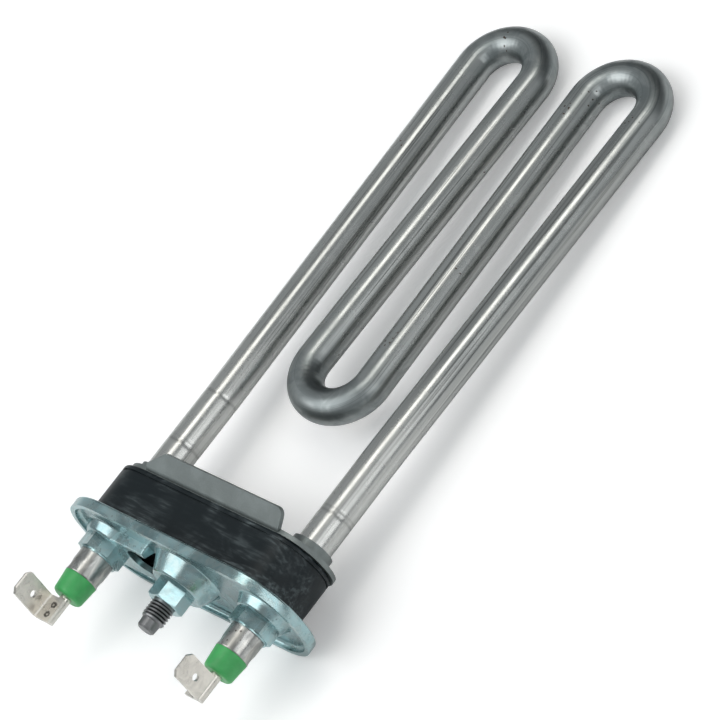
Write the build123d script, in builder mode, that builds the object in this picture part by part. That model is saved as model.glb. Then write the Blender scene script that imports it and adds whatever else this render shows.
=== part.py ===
from build123d import *
import os
from math import cos, radians, sin, tan

# Tubular heating element with a flange, of the kind that heats the water in a washing machine.
# One sheathed tube is bent into a flat W. Its two cold ends pass through an inner plate, a rubber
# gasket and a dished outer plate, and end in green insulators and folded push-on tabs.
# All sizes are in millimetres. X runs along the tube towards the far bends, Z is the normal of
# the W, and +Y is the side called left. The origin is on the clamp stud's axis, at the outer
# plate's back face, where the gasket seats, on the plane of the tube's centre line.

# Sheath and its W shape
sheath_od = 8.5
sheath_wall = 0.6
cold_end_reach = 13.7
heater_reach = 155.1
left_bend_back = 1.8
middle_bend_reach = 43.2
far_bend_radius = 9.2
splay_start = 40.0
splay_radius = 80.0
outer_splay = 1.0
inner_splay = 0.9

# Resistance coil and cold pins inside the sheath
coil_od = 3.6
coil_wall = 0.5
coil_start = 32.0
coil_overlap = 6.0
pin_diameter = 2.8
pin_reach = 25.9
pin_spigot_fit = 0.05

# Thermal fuses in the cold ends
fuse_start = 2.0
fuse_length = 12.0
fuse_diameter = 4.6
fuse_socket_depth = 3.0
fuse_socket_fit = 0.05

# End seals and insulators
insulator_length = 5.4
insulator_base_diameter = 8.3
insulator_tip_diameter = 7.3
insulator_tip_radius = 1.0
insulator_spigot_length = 3.0
spigot_fit = 0.05
seal_length = 2.5
pin_fit = 0.05

# Push-on tabs, each folded from one strip
tab_width = 6.3
tab_thickness = 0.8
tab_gap = 1.1
tab_bend_radius = 0.5
tab_blade_length = 10.2
tab_hole_diameter = 1.8
tab_hole_from_tip = 5.5
tab_corner_cut = 1.3
tab_edge_bevel = 0.25
pin_flat_height = 1.0
left_fold_reach = 3.0
left_base_reach = 1.6
left_blade_lean = 3.0
right_fold_reach = 1.5
right_base_reach = 2.5
right_blade_lean = -10.0

# Outer plate, pressed from one sheet
plate_length = 71.5
plate_width = 30.4
plate_end_radius = 14.4
leg_from_plate_end = 11.1
plate_offset = -1.1
plate_thickness = 1.3
plate_rim_depth = 2.7
plate_corner_radius = 0.6
plate_dish_radius = 1.0
tube_boss_height = 2.5
tube_boss_radius = 7.0
tube_boss_taper = 24.0
stud_boss_height = 4.6
stud_boss_radius = 8.8
stud_boss_taper = 26.0
boss_edge_radius = 0.8
boss_foot_radius = 0.6
hood_height = 2.5
hood_right_y = 7.6
hood_right_z = -3.6
hood_upper_y = 10.2
hood_upper_z = 5.0
hood_lower_y = 9.4
hood_lower_z = -8.0
hood_taper = 10.0
hood_corner_radius = 0.8
hood_edge_radius = 0.4
sensor_hole_diameter = 8.4
sensor_y = 12.8
neck_hex = 9.8
neck_height = 3.5
neck_lip_height = 0.4
neck_lip_width = 0.5
neck_fit = 0.05

# Gasket
gasket_from_plate_end = 4.25
gasket_width = 20.5
gasket_thickness = 12.8
gasket_edge_radius = 0.6
gasket_groove_width = 0.5
gasket_groove_depth = 0.35
gasket_groove_from_back = 1.2
gasket_fit = 0.05
sensor_pocket_diameter = 8.0
sensor_pocket_depth = 9.0

# Inner plate
inner_plate_thickness = 1.1
inner_plate_margin = 0.4
inner_collar_wall = 0.9
inner_collar_height = 2.5
tongue_from_plate_end = 14.45
tongue_reach = 5.0
tongue_angle = 36.0
tongue_corner_radius = 1.8
tongue_slant_length = 4.8
tongue_slant_foot = 1.3
tongue_bend_radius = 0.6
tongue_root_length = 2.0

# Clamp stud and nut
stud_diameter = 5.8
stud_shank_diameter = 5.35
stud_reach = 17.4
stud_point_length = 2.6
stud_point_diameter = 4.6
free_thread_gap = 0.3
stud_clearance = 0.2
stud_head_diameter = 11.0
stud_head_height = 2.4
stud_head_edge = 0.6
stud_neck_width = 5.8
stud_neck_fit = 0.1
stud_point_taper = 6.0
nut_hex = 8.0
nut_height = 4.5
nut_turn = 40.0
nut_chamfer = 0.4
nut_thread_fit = 0.05

# Sizes that follow from the ones above
leg_y = plate_length / 2 - leg_from_plate_end
gasket_length = plate_length - 2 * gasket_from_plate_end
tongue_length = plate_length - 2 * tongue_from_plate_end
sheath_radius = sheath_od / 2
bore_radius = sheath_radius - sheath_wall
pin_radius = pin_diameter / 2
inner_plate_front = gasket_thickness
inner_plate_back = gasket_thickness + inner_plate_thickness
nut_seat = plate_thickness + stud_boss_height
free_thread_start = -nut_seat - nut_height - free_thread_gap
seal_front = insulator_spigot_length - cold_end_reach
insulator_tip = -cold_end_reach - insulator_length
tab_end = insulator_tip - tab_gap - tab_width
powder_start = seal_front + seal_length
fuse_end = fuse_start + fuse_length

os.makedirs("parts", exist_ok=True)


def w_path(start_x):
    """Centre line of the W from the left leg at start_x round to the right leg at start_x."""
    a = radians(outer_splay)
    b = radians(inner_splay)
    turn = 180 + outer_splay + inner_splay
    with BuildLine() as w_line:
        cold = Line((start_x, leg_y), (splay_start, leg_y))
        splay = JernArc(cold @ 1, cold % 1, splay_radius, outer_splay)
        far_centre_x = heater_reach - left_bend_back - sheath_radius - far_bend_radius
        outer_run = (far_centre_x - far_bend_radius * sin(a) - (splay @ 1).X) / cos(a)
        outer_leg = PolarLine(splay @ 1, outer_run, direction=splay % 1)
        far_bend = JernArc(outer_leg @ 1, outer_leg % 1, far_bend_radius, -turn)
        # The inner leg runs back until the middle bend, tangent to it, reaches the centre plane.
        room = (far_bend @ 1).X - sheath_radius - middle_bend_reach
        inner_run = room - (far_bend @ 1).Y * (1 + sin(b)) / cos(b)
        inner_run = inner_run / (cos(b) + tan(b) * (1 + sin(b)))
        inner_leg = PolarLine(far_bend @ 1, inner_run, direction=far_bend % 1)
        middle = inner_leg @ 1
        middle_bend = JernArc(middle, inner_leg % 1, middle.Y / cos(b), 180 + 2 * inner_splay)
        # The right far bend's radius lets the longer right legs end where the left ones mirror.
        bend_end_x = heater_reach - sheath_radius
        legs_apart = (splay @ 1).Y + tan(a) * (bend_end_x - (splay @ 1).X) - middle.Y
        legs_apart = legs_apart + tan(b) * (bend_end_x - middle.X)
        right_radius = legs_apart / (cos(a) + cos(b) + tan(a) * (1 + sin(a)) + tan(b) * (1 + sin(b)))
        right_centre_x = bend_end_x - right_radius
        right_run = (right_centre_x - right_radius * sin(b) - middle.X) / cos(b)
        right_inner = PolarLine(middle_bend @ 1, right_run, direction=middle_bend % 1)
        right_bend = JernArc(right_inner @ 1, right_inner % 1, right_radius, -turn)
        right_run = (right_centre_x - right_radius * sin(a) - (splay @ 1).X) / cos(a)
        right_outer = PolarLine(right_bend @ 1, right_run, direction=right_bend % 1)
        right_splay = JernArc(right_outer @ 1, right_outer % 1, splay_radius, outer_splay)
        Line(right_splay @ 1, (start_x, -leg_y))
    return w_line.wire()


def swept_tube(path, radius, bore=0.0):
    """A round tube or rod of the given radius along a path."""
    with BuildPart() as tube:
        with BuildSketch(Plane(path ^ 0)):
            Circle(radius)
            if bore > 0:
                Circle(bore, mode=Mode.SUBTRACT)
        sweep(path=path)
    return tube.part


def side_name(side):
    return "left" if side > 0 else "right"


def write(shape, name):
    shape.label = name
    export_step(shape, "parts/" + name + ".step")


# Sheath: one stainless tube
sheath_path = w_path(-cold_end_reach)
with BuildPart() as sheath:
    add(swept_tube(sheath_path, sheath_radius, bore_radius))
write(sheath.part, "sheath")

# Heating coil: the outer form of the close-wound resistance wire
coil_path = w_path(coil_start)
with BuildPart() as heating_coil:
    add(swept_tube(coil_path, coil_od / 2, coil_od / 2 - coil_wall))
write(heating_coil.part, "heating_coil")

# Insulating powder: fills the sheath round the coil, the pins and the fuses
powder_path = w_path(powder_start)
with BuildPart() as insulating_powder:
    add(swept_tube(powder_path, bore_radius))
    add(swept_tube(coil_path, coil_od / 2), mode=Mode.SUBTRACT)
    for side in (1, -1):
        cold_axis = Plane.YZ.offset(powder_start)
        with BuildSketch(cold_axis):
            with Locations((side * leg_y, 0)):
                Circle(pin_radius)
        extrude(amount=coil_start - powder_start, mode=Mode.SUBTRACT)
        with BuildSketch(Plane.YZ.offset(fuse_start)):
            with Locations((side * leg_y, 0)):
                Circle(fuse_diameter / 2)
        extrude(amount=fuse_length, mode=Mode.SUBTRACT)
write(insulating_powder.part, "insulating_powder")

# Cold ends, the same on both legs
for side in (1, -1):
    centre = (side * leg_y, 0)
    leg_axis = Axis((0, side * leg_y, 0), (1, 0, 0))

    with BuildPart() as outer_pin:
        with BuildSketch(Plane.YZ.offset(-pin_reach)):
            with Locations(centre):
                Circle(pin_radius)
        extrude(amount=pin_reach + fuse_start + fuse_socket_depth)
        # The outer end is pressed flat where the tab is welded on.
        with BuildSketch(Plane.XY.offset(pin_flat_height)):
            with Locations((tab_end + tab_width / 2, side * leg_y)):
                Rectangle(tab_width + tab_gap, pin_diameter)
        extrude(amount=pin_radius, mode=Mode.SUBTRACT)
    write(outer_pin.part, "outer_pin_" + side_name(side))

    with BuildPart() as inner_pin:
        with BuildSketch(Plane.YZ.offset(fuse_end - fuse_socket_depth)):
            with Locations(centre):
                Circle(pin_radius)
        extrude(amount=coil_start - fuse_end + fuse_socket_depth)
        with BuildSketch(Plane.YZ.offset(coil_start)):
            with Locations(centre):
                Circle(coil_od / 2 - coil_wall - pin_spigot_fit)
        extrude(amount=coil_overlap)
    write(inner_pin.part, "inner_pin_" + side_name(side))

    with BuildPart() as thermal_fuse:
        with BuildSketch(Plane.YZ.offset(fuse_start)):
            with Locations(centre):
                Circle(fuse_diameter / 2)
        extrude(amount=fuse_length)
        for socket in (fuse_start, fuse_end - fuse_socket_depth):
            with BuildSketch(Plane.YZ.offset(socket)):
                with Locations(centre):
                    Circle(pin_radius + fuse_socket_fit)
            extrude(amount=fuse_socket_depth, mode=Mode.SUBTRACT)
    write(thermal_fuse.part, "thermal_fuse_" + side_name(side))

    with BuildPart() as end_seal:
        with BuildSketch(Plane.YZ.offset(seal_front)):
            with Locations(centre):
                Circle(bore_radius)
                Circle(pin_radius, mode=Mode.SUBTRACT)
        extrude(amount=seal_length)
    write(end_seal.part, "end_seal_" + side_name(side))

    with BuildPart() as insulator:
        with BuildSketch() as insulator_profile:
            with BuildLine():
                tip_y = side * leg_y + insulator_tip_diameter / 2
                base_y = side * leg_y + insulator_base_diameter / 2
                spigot_y = side * leg_y + bore_radius - spigot_fit
                bore_y = side * leg_y + pin_radius + pin_fit
                Polyline((insulator_tip, bore_y), (insulator_tip, tip_y), (-cold_end_reach, base_y),
                         (-cold_end_reach, spigot_y), (seal_front, spigot_y),
                         (seal_front, bore_y), close=True)
            make_face()
            tip_corner = insulator_profile.vertices().group_by(Axis.X)[0].sort_by(Axis.Y)[-1]
            fillet(tip_corner, insulator_tip_radius)
        revolve(axis=leg_axis)
    write(insulator.part, "insulator_" + side_name(side))

    # The base of the tab lies on the pin's flat, and the blade stands up from its outer end.
    left = side > 0
    fold_reach = left_fold_reach if left else right_fold_reach
    base_reach = left_base_reach if left else right_base_reach
    lean = radians(left_blade_lean if left else right_blade_lean)
    across = Plane(origin=(tab_end, side * leg_y, 0), x_dir=(0, side, 0), z_dir=(side, 0, 0))
    strip_height = pin_flat_height + tab_thickness / 2
    fold = Vector(fold_reach, strip_height)
    blade_direction = Vector(sin(lean), cos(lean))
    blade_tip = fold + blade_direction * tab_blade_length
    hole_centre = blade_tip - blade_direction * tab_hole_from_tip
    tip_direction = across.from_local_coords(blade_tip) - across.from_local_coords(fold)
    with BuildPart() as tab:
        with BuildSketch(across):
            with BuildLine() as strip:
                FilletPolyline((-base_reach, strip_height), fold, blade_tip,
                               radius=tab_bend_radius + tab_thickness / 2)
            trace(strip.line, line_width=tab_thickness)
        extrude(amount=side * tab_width)
        tip_face = tab.faces().sort_by(Axis((0, 0, 0), tip_direction))[-1]
        chamfer(tip_face.edges().sort_by(SortBy.LENGTH)[:2], tab_corner_cut)
        tip_face = tab.faces().sort_by(Axis((0, 0, 0), tip_direction))[-1]
        chamfer(tip_face.edges().sort_by(SortBy.LENGTH)[-2:], tab_edge_bevel)
        hole_at = across.from_local_coords(hole_centre) + Vector(tab_width / 2, 0, 0)
        with BuildSketch(Plane(origin=hole_at, x_dir=(1, 0, 0), z_dir=tip_direction.cross(Vector(1, 0, 0)))):
            Circle(tab_hole_diameter / 2)
        extrude(amount=tab_thickness, both=True, mode=Mode.SUBTRACT)
    write(tab.part, "tab_" + side_name(side))


def pressed_cone(y, radius, height, taper, inset):
    """A round boss of the outer plate, or the hollow under it where inset is the sheet's thickness."""
    foot = radius - inset * tan(radians(45 - taper / 2))
    with BuildPart() as cone:
        with BuildSketch(Plane.YZ.offset(inset - plate_thickness)):
            with Locations((y, 0)):
                Circle(foot)
        extrude(amount=-height, taper=taper)
        fillet(cone.faces().sort_by(Axis.X)[0].edges(), boss_edge_radius)
    return cone.part


def pressed_hood(inset):
    """The hood of the sensor hole, or the hollow under it. Its left end runs into the tube boss."""
    draw_in = inset * tan(radians(45 - hood_taper / 2))
    with BuildPart() as hood:
        with BuildSketch(Plane.YZ.offset(inset - plate_thickness)) as outline:
            with BuildLine():
                Polyline((hood_right_y, hood_right_z), (hood_upper_y, hood_upper_z), (leg_y, hood_upper_z),
                         (leg_y, hood_lower_z), (hood_lower_y, hood_lower_z), close=True)
            make_face()
            if draw_in > 0:
                offset(amount=-draw_in, kind=Kind.INTERSECTION)
            fillet(outline.vertices(), hood_corner_radius)
        extrude(amount=-hood_height, taper=hood_taper)
        fillet(hood.faces().sort_by(Axis.X)[0].edges(), hood_edge_radius)
    return hood.part


def pressed_cones(inset):
    """The round bosses of both legs and of the stud in one solid, or the hollows under them."""
    with BuildPart() as cones:
        for side in (1, -1):
            add(pressed_cone(side * leg_y, tube_boss_radius, tube_boss_height, tube_boss_taper, inset))
        add(pressed_cone(0, stud_boss_radius, stud_boss_height, stud_boss_taper, inset))
    return cones.part


# Outer plate: a dished pressing with raised bosses and two drawn necks crimped on the tube
outer_cones = pressed_cones(0)
inner_cones = pressed_cones(plate_thickness)
outer_hood = pressed_hood(0)
inner_hood = pressed_hood(plate_thickness)
boss_top = plate_thickness + tube_boss_height
with BuildPart() as outer_plate:
    with BuildSketch(Plane.YZ):
        with Locations((plate_offset, 0)):
            RectangleRounded(plate_length, plate_width, plate_end_radius)
    extrude(amount=-plate_rim_depth)
    with BuildSketch(Plane.YZ.offset(-plate_thickness)):
        with Locations((plate_offset, 0)):
            RectangleRounded(plate_length - 2 * plate_thickness, plate_width - 2 * plate_thickness,
                             plate_end_radius - plate_thickness)
    extrude(amount=-plate_rim_depth, mode=Mode.SUBTRACT)
    dish_floor = outer_plate.faces().filter_by(Axis.X).sort_by(Axis.X)[-2]
    fillet(dish_floor.edges(), plate_dish_radius)
    seat_face = outer_plate.faces().sort_by(Axis.X)[-1]
    fillet(seat_face.edges(), plate_corner_radius)
    add(outer_cones)
    # The round bosses run into the floor through small radii, and the hood stands in a sharp fold.
    boss_floor = outer_plate.faces().filter_by(Axis.X).sort_by(SortBy.AREA)[-2]
    fillet(boss_floor.inner_wires().edges(), boss_foot_radius)
    add(outer_hood)
    add(inner_cones, mode=Mode.SUBTRACT)
    add(inner_hood, mode=Mode.SUBTRACT)
    for side in (1, -1):
        with BuildSketch(Plane.YZ.offset(-boss_top)):
            with Locations((side * leg_y, 0)):
                RegularPolygon(neck_hex / 2, 6, major_radius=False, rotation=30)
        extrude(amount=-neck_height)
        with BuildSketch(Plane.YZ.offset(-boss_top - neck_height)):
            with Locations((side * leg_y, 0)):
                Circle(sheath_radius + neck_lip_width)
        extrude(amount=-neck_lip_height)
        with BuildSketch(Plane.YZ):
            with Locations((side * leg_y, 0)):
                Circle(sheath_radius + neck_fit)
        extrude(amount=-boss_top - neck_height - neck_lip_height, mode=Mode.SUBTRACT)
    with BuildSketch(Plane.YZ):
        with Locations((sensor_y, 0)):
            Circle(sensor_hole_diameter / 2)
        Circle(stud_diameter / 2 + stud_clearance)
    extrude(amount=-nut_seat, mode=Mode.SUBTRACT)
write(outer_plate.part, "outer_plate")

# Gasket: a rubber plug with a hole for each leg and the stud, and a pocket for the sensor
with BuildPart() as gasket:
    with BuildSketch(Plane.YZ):
        SlotOverall(gasket_length, gasket_width)
    extrude(amount=gasket_thickness)
    fillet(gasket.faces().sort_by(Axis.X)[-1].edges(), gasket_edge_radius)
    with BuildSketch(Plane.YZ.offset(gasket_thickness - gasket_groove_from_back)):
        SlotOverall(gasket_length, gasket_width)
        SlotOverall(gasket_length - 2 * gasket_groove_depth, gasket_width - 2 * gasket_groove_depth,
                    mode=Mode.SUBTRACT)
    extrude(amount=-gasket_groove_width, mode=Mode.SUBTRACT)
    with BuildSketch(Plane.YZ):
        with Locations((leg_y, 0), (-leg_y, 0)):
            Circle(sheath_radius + gasket_fit)
        Circle(stud_shank_diameter / 2 + gasket_fit)
    extrude(amount=gasket_thickness, mode=Mode.SUBTRACT)
    with BuildSketch(Plane.YZ):
        with Locations((sensor_y, 0)):
            Circle(sensor_pocket_diameter / 2)
    extrude(amount=sensor_pocket_depth, mode=Mode.SUBTRACT)
write(gasket.part, "gasket")

# Inner plate: a flat pressing with a drawn collar round each leg and one bent tongue
with BuildPart() as inner_plate:
    with BuildSketch(Plane.YZ.offset(inner_plate_front)):
        with Locations((plate_offset, 0)):
            SlotOverall(gasket_length - 2 * inner_plate_margin, gasket_width - 2 * inner_plate_margin)
    extrude(amount=inner_plate_thickness)
    for side in (1, -1):
        with BuildSketch(Plane.YZ.offset(inner_plate_back)):
            with Locations((side * leg_y, 0)):
                Circle(sheath_radius + inner_collar_wall)
        extrude(amount=inner_collar_height)
    with BuildSketch(Plane.XZ.offset(-plate_offset - tongue_length / 2)):
        with BuildLine() as tongue_line:
            edge_z = gasket_width / 2 - inner_plate_margin
            root_x = inner_plate_front + inner_plate_thickness / 2
            a = radians(tongue_angle)
            root = Vector(root_x, edge_z - tongue_root_length)
            bend = Vector(root_x, edge_z)
            FilletPolyline(root, bend, bend + Vector(cos(a), sin(a)) * tongue_reach,
                           radius=tongue_bend_radius + inner_plate_thickness / 2)
        trace(tongue_line.line, line_width=inner_plate_thickness)
    extrude(amount=tongue_length)
    tongue_direction = Vector(cos(a), 0, sin(a))
    tongue_tip = inner_plate.faces().sort_by(Axis((0, 0, 0), tongue_direction))[-1]
    left_corner = tongue_tip.edges().sort_by(SortBy.LENGTH)[:2].sort_by(Axis.Y)[-1]
    chamfer(left_corner, tongue_slant_length, tongue_reach - tongue_slant_foot, reference=tongue_tip)
    tongue_tip = inner_plate.faces().sort_by(Axis((0, 0, 0), tongue_direction))[-1]
    right_corner = tongue_tip.edges().sort_by(SortBy.LENGTH)[:2].sort_by(Axis.Y)[0]
    fillet(right_corner, tongue_corner_radius)
    for side in (1, -1):
        with BuildSketch(Plane.YZ.offset(inner_plate_front)):
            with Locations((side * leg_y, 0)):
                Circle(sheath_radius + neck_fit)
        extrude(amount=inner_plate_thickness + inner_collar_height, mode=Mode.SUBTRACT)
    with BuildSketch(Plane.YZ.offset(inner_plate_front)):
        Rectangle(stud_neck_width + 2 * stud_neck_fit, stud_neck_width + 2 * stud_neck_fit)
    extrude(amount=inner_plate_thickness, mode=Mode.SUBTRACT)
write(inner_plate.part, "inner_plate")

# Clamp stud: flat round head behind the inner plate, square neck in it, and a plain point
with BuildPart() as clamp_stud:
    with BuildSketch(Plane.YZ.offset(inner_plate_back)):
        Circle(stud_head_diameter / 2)
    extrude(amount=stud_head_height)
    fillet(clamp_stud.faces().sort_by(Axis.X)[-1].edges(), stud_head_edge)
    with BuildSketch(Plane.YZ.offset(inner_plate_back)):
        Rectangle(stud_neck_width, stud_neck_width)
    extrude(amount=-inner_plate_thickness)
    # The thread is rolled on a thinner blank, so only its free end has the full diameter.
    with BuildSketch(Plane.YZ.offset(inner_plate_front)):
        Circle(stud_shank_diameter / 2)
    extrude(amount=-inner_plate_front + free_thread_start)
    with BuildSketch(Plane.YZ.offset(free_thread_start)):
        Circle(stud_diameter / 2)
    extrude(amount=-stud_reach + stud_point_length - free_thread_start)
    with BuildSketch(Plane.YZ.offset(-stud_reach + stud_point_length)):
        Circle(stud_point_diameter / 2)
    extrude(amount=-stud_point_length, taper=stud_point_taper)
write(clamp_stud.part, "clamp_stud")

# Clamp nut: seats on the stud boss of the outer plate
with BuildPart() as clamp_nut:
    with BuildSketch(Plane.YZ.offset(-nut_seat)):
        RegularPolygon(nut_hex / 2, 6, major_radius=False, rotation=nut_turn)
    extrude(amount=-nut_height)
    # A turned cone of 30 degrees breaks the six corners at the free end.
    nut_corner = nut_hex / 2 / cos(radians(30))
    nut_face = -nut_seat - nut_height
    with BuildSketch():
        with BuildLine():
            Polyline((-nut_seat, 0), (-nut_seat, nut_corner), (nut_face + nut_chamfer, nut_corner),
                     (nut_face, nut_corner - nut_chamfer / tan(radians(30))), (nut_face, 0), close=True)
        make_face()
    revolve(axis=Axis.X, mode=Mode.INTERSECT)
    with BuildSketch(Plane.YZ.offset(-nut_seat)):
        Circle(stud_shank_diameter / 2 + nut_thread_fit)
    extrude(amount=-nut_height, mode=Mode.SUBTRACT)
write(clamp_nut.part, "clamp_nut")
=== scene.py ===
"""Looks of a flanged tubular heating element: a sheathed tube bent into a flat W, two plates, a
rubber gasket, green insulators and folded terminal tabs, on a plain pale floor."""

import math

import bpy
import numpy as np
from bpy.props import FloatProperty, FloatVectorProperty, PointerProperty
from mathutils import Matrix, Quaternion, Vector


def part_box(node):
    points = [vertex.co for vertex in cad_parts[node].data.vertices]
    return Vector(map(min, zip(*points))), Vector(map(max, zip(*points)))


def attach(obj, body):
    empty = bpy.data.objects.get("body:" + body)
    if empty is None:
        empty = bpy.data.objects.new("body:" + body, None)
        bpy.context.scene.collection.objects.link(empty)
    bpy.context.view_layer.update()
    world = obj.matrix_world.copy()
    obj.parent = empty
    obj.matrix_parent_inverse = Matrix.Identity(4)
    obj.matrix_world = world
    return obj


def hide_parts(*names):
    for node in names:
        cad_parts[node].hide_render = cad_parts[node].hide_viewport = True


bl_info = {
    "name": "Tubular Heating Element",
    "version": (1, 0, 0),
    "blender": (4, 5, 0),
    "location": "View3D > Sidebar > Heater",
    "description": "Finishes the heating element's tube, plates, gasket and terminals",
    "category": "Object",
}

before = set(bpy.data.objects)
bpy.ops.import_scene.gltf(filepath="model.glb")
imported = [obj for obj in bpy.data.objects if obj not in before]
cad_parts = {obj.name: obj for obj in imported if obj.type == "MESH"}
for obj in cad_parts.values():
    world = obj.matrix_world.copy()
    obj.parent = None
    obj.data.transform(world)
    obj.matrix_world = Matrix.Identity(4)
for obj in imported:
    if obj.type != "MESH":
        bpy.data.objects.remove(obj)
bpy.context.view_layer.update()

MM = 0.001


def box_middle(node):
    low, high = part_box(node)
    return (low + high) / 2


SHEATH_LOW, SHEATH_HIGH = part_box("sheath")
STUD_LOW, STUD_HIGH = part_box("clamp_stud")
NUT_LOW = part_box("clamp_nut")[0]
PLATE_LOW, PLATE_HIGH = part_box("outer_plate")
GASKET_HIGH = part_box("gasket")[1]
LEG_Y = box_middle("insulator_left").y

# Samples along the tube, on the straight legs and where it bends, and around it.
LEG_STEP = 1.6 * MM
FINE_STEP = 0.32 * MM
TUBE_SIDES = 80
# A bend's weight fades over this many samples to each side of its ends.
BEND_FADE = 12
# Each ring mark's distance from the tube's end and its width, in millimetres, and its depth share
# on the left leg and on the right one.
RING_MARKS = ((38.1, 0.35, 1.0, 1.0), (39.2, 0.25, 0.3, 0.8), (52.3, 0.30, 0.9, 0.0))
# The cross ribs on the inside of a bend are two waves, the second of half the height.
RIB_PITCHES = (1.5 * MM, 0.83 * MM)
# The crimp dents' angles around the left leg, distance from the end, length and spread angle.
DENT_ANGLES = (math.radians(-42.0), math.radians(138.0))
DENT_PLACE = 1.3 * MM
DENT_LENGTH = 0.9 * MM
DENT_SPREAD = 0.22
# How deep the tube is open behind the insulator, and the round of its edge.
END_DEPTH = 2.9 * MM
END_ROUND = 0.15 * MM

# Samples along the stud's profile and around it, and the size of its hidden head.
STUD_STEP = 0.06 * MM
STUD_SIDES = 96
HEAD_HEIGHT = 2.4 * MM
HEAD_ROUND = 0.6 * MM

# The painted shade on the outer plate's dish floor sets in between these two places along X.
DISH_LOW = -1.8 * MM
DISH_HIGH = -1.5 * MM

# The welds on each tab's base, along X from its middle.
WELD_OFFSETS = (1.1 * MM, -1.5 * MM)
WELD_HEIGHT = 0.8 * MM
WELD_RADIUS = 1.3 * MM

# The camera's right, up and backward directions.
CAMERA_AXES = ((0.58720719, -0.69848589, -0.40902956), (0.76075553, 0.30364078, 0.57363168),
               (-0.27647558, -0.64801214, 0.70967706))
CAMERA_CLIP = (0.05, 20.0)
# The floor's half side, its gap below the heater, and how far in front of the plate's back face the
# plate's edge touches it.
FLOOR_REACH = 2.5
FLOOR_GAP = 0.05 * MM
HEEL_FORWARD = 1.5 * MM
# The room turns dark between these two levels of the view direction's X, mapped to 0 to 1.
ROOM_TURN = (0.34, 0.66)
LAMP_TARGET = (0.07, 0.0, 0.0)
KEY_TARGET = (0.10, 0.0, 0.0)
KEY_TWIST = math.radians(58.0)


def length_setting(name, description, default, **limits):
    return FloatProperty(name=name, description=description, default=default, unit="LENGTH",
                         precision=5, **limits)


def colour_setting(name, description, default):
    return FloatVectorProperty(name=name, description=description, default=default,
                               subtype="COLOR", size=3)


class HeaterSizes(bpy.types.PropertyGroup):
    """Sizes of the tube, the stud and the surface marks that the finished pieces take."""

    sheath_radius: length_setting(
        "Sheath radius", "Outside radius of the tube", SHEATH_HIGH.z, min=MM)
    sheath_wall: length_setting("Sheath wall", "Wall of the tube at its open ends", 0.6 * MM)
    far_bend_radius: length_setting(
        "Far bend radius", "Centre line radius of the two far bends", 9.2 * MM)
    left_bend_back: length_setting(
        "Left bend back", "How much shorter the left far bend reaches than the right", 1.8 * MM)
    middle_bend_reach: length_setting(
        "Middle bend reach", "Distance from the plate's back face to the middle bend", 43.2 * MM)
    splay_start: length_setting("Splay start", "Where the outer legs begin to spread", 40.0 * MM)
    splay_radius: length_setting(
        "Splay radius", "Radius of the gentle turn that spreads the outer legs", 80.0 * MM)
    outer_splay: FloatProperty(
        name="Outer splay", description="Angle that the outer legs spread by",
        default=math.radians(1.0), unit="ROTATION")
    inner_splay: FloatProperty(
        name="Inner splay",
        description="Angle that the inner legs spread by towards the middle bend",
        default=math.radians(0.9), unit="ROTATION")
    ring_depth: length_setting(
        "Ring depth", "Depth of the rolled ring marks on the outer legs", 0.06 * MM)
    rib_depth: length_setting(
        "Rib depth", "Height of the cross ribs that the bending tool leaves in a bend", 0.016 * MM)
    dent_depth: length_setting(
        "Dent depth", "Depth of the crimp dents beside each insulator", 0.35 * MM)
    thread_pitch: length_setting("Thread pitch", "Pitch of the stud's thread", 0.8 * MM)
    thread_depth: length_setting("Thread depth", "Depth of the stud's thread", 0.42 * MM)
    stud_radius: length_setting("Stud radius", "Radius over the thread's crests", 2.9 * MM)
    blank_radius: length_setting(
        "Blank radius", "Radius of the stud inside the nut and the plates", 2.675 * MM)
    point_radius: length_setting("Point radius", "Radius of the stud's plain point", 2.3 * MM)
    point_length: length_setting("Point length", "Length of the stud's plain point", 2.6 * MM)


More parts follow.
